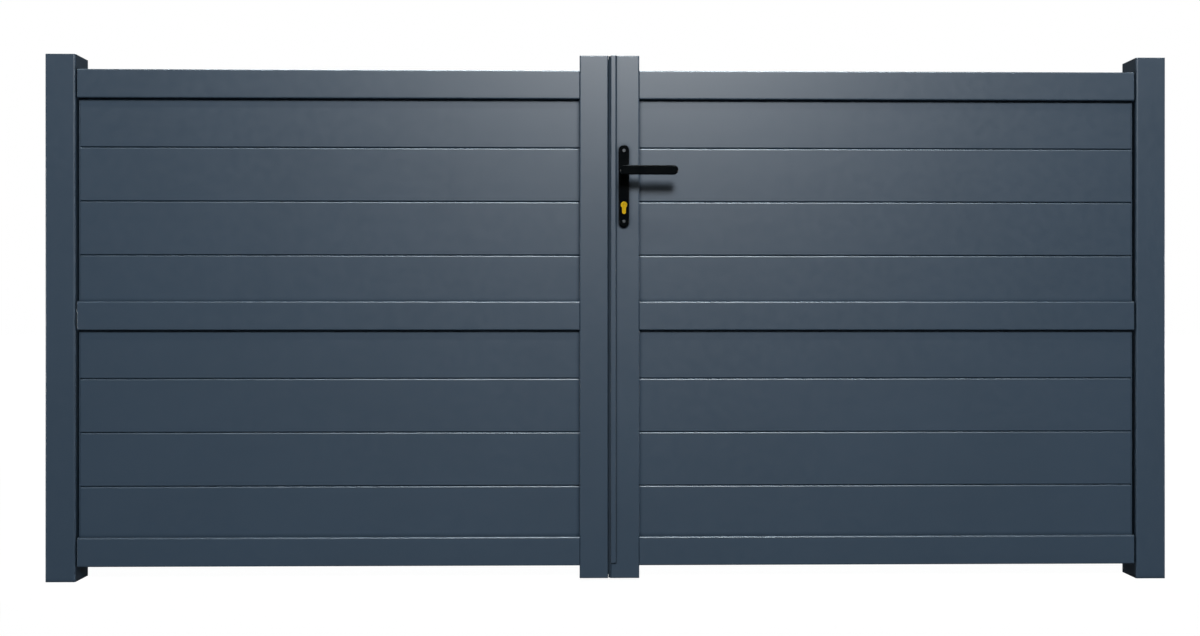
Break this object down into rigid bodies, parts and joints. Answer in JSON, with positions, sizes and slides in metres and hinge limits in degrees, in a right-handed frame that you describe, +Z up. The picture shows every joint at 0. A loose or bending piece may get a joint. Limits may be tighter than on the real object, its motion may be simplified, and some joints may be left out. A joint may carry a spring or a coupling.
{
  "type": "double-leaf swing gate",
  "caption": "Low double-leaf driveway gate in anthracite aluminium: boarded leaves hung between square posts, with a black lever handle and lock on the right leaf.",
  "frame": {"origin": "middle of the left post's foot, on the ground", "axes": "+X along the gate to the right post, +Y from the front to the back, the way the leaves open, +Z up"},
  "size_m": [3, 0.182, 1.404],
  "materials": {
    "powder_coat": "satin anthracite powder coat on aluminium",
    "plug_plastic": "matt anthracite moulded plastic",
    "hinge_steel": "satin anthracite paint on steel",
    "lock_steel": "brushed stainless steel",
    "cylinder_brass": "satin yellow brass",
    "handle_black": "satin black coating on aluminium"
  },
  "bodies": {
    "posts": {"left_post": "powder_coat", "left_post_cap": "plug_plastic", "left_hinge_brackets": "hinge_steel", "right_post": "powder_coat", "right_post_cap": "plug_plastic", "right_hinge_brackets": "hinge_steel"},
    "left_leaf": {"left_top_rail": "powder_coat", "left_middle_rail": "powder_coat", "left_bottom_rail": "powder_coat", "left_meeting_stile": "powder_coat", "left_hinge_stile": "powder_coat", "left_stile_caps": "plug_plastic", "left_rail_caps": "plug_plastic", "left_hinge_straps": "hinge_steel", "left_upper_board_1": "powder_coat", "left_upper_board_2": "powder_coat", "left_upper_board_3": "powder_coat", "left_upper_board_4": "powder_coat", "left_lower_board_1": "powder_coat", "left_lower_board_2": "powder_coat", "left_lower_board_3": "powder_coat", "left_lower_board_4": "powder_coat", "strike_plate": "lock_steel"},
    "right_leaf": {"right_top_rail": "powder_coat", "right_middle_rail": "powder_coat", "right_bottom_rail": "powder_coat", "right_meeting_stile": "powder_coat", "right_hinge_stile": "powder_coat", "right_stile_caps": "plug_plastic", "right_rail_caps": "plug_plastic", "right_hinge_straps": "hinge_steel", "right_upper_board_1": "powder_coat", "right_upper_board_2": "powder_coat", "right_upper_board_3": "powder_coat", "right_upper_board_4": "powder_coat", "right_lower_board_1": "powder_coat", "right_lower_board_2": "powder_coat", "right_lower_board_3": "powder_coat", "right_lower_board_4": "powder_coat", "cover_strip": "powder_coat", "front_handle_plate": "handle_black", "back_handle_plate": "handle_black", "lock_cylinder": "cylinder_brass", "mortice_lock": "lock_steel"},
    "lever": {"front_lever": "handle_black", "back_lever": "handle_black"}
  },
  "joints": [
    {"name": "left_leaf_swing", "type": "hinge", "parent": "posts", "child": "left_leaf", "pos_m": [0.055, 0.0225, 0.702], "axis": [0, 0, 1], "range_deg": [0, 100]},
    {"name": "right_leaf_swing", "type": "hinge", "parent": "posts", "child": "right_leaf", "pos_m": [2.865, 0.0225, 0.702], "axis": [0, 0, -1], "range_deg": [0, 100]},
    {"name": "lever_turn", "type": "hinge", "parent": "right_leaf", "child": "lever", "pos_m": [1.4985, -0.014, 1.0906], "axis": [0, 1, 0], "range_deg": [0, 40], "stiffness_Nm_per_rad": 1.2, "springref_deg": -40.11}
  ]
}
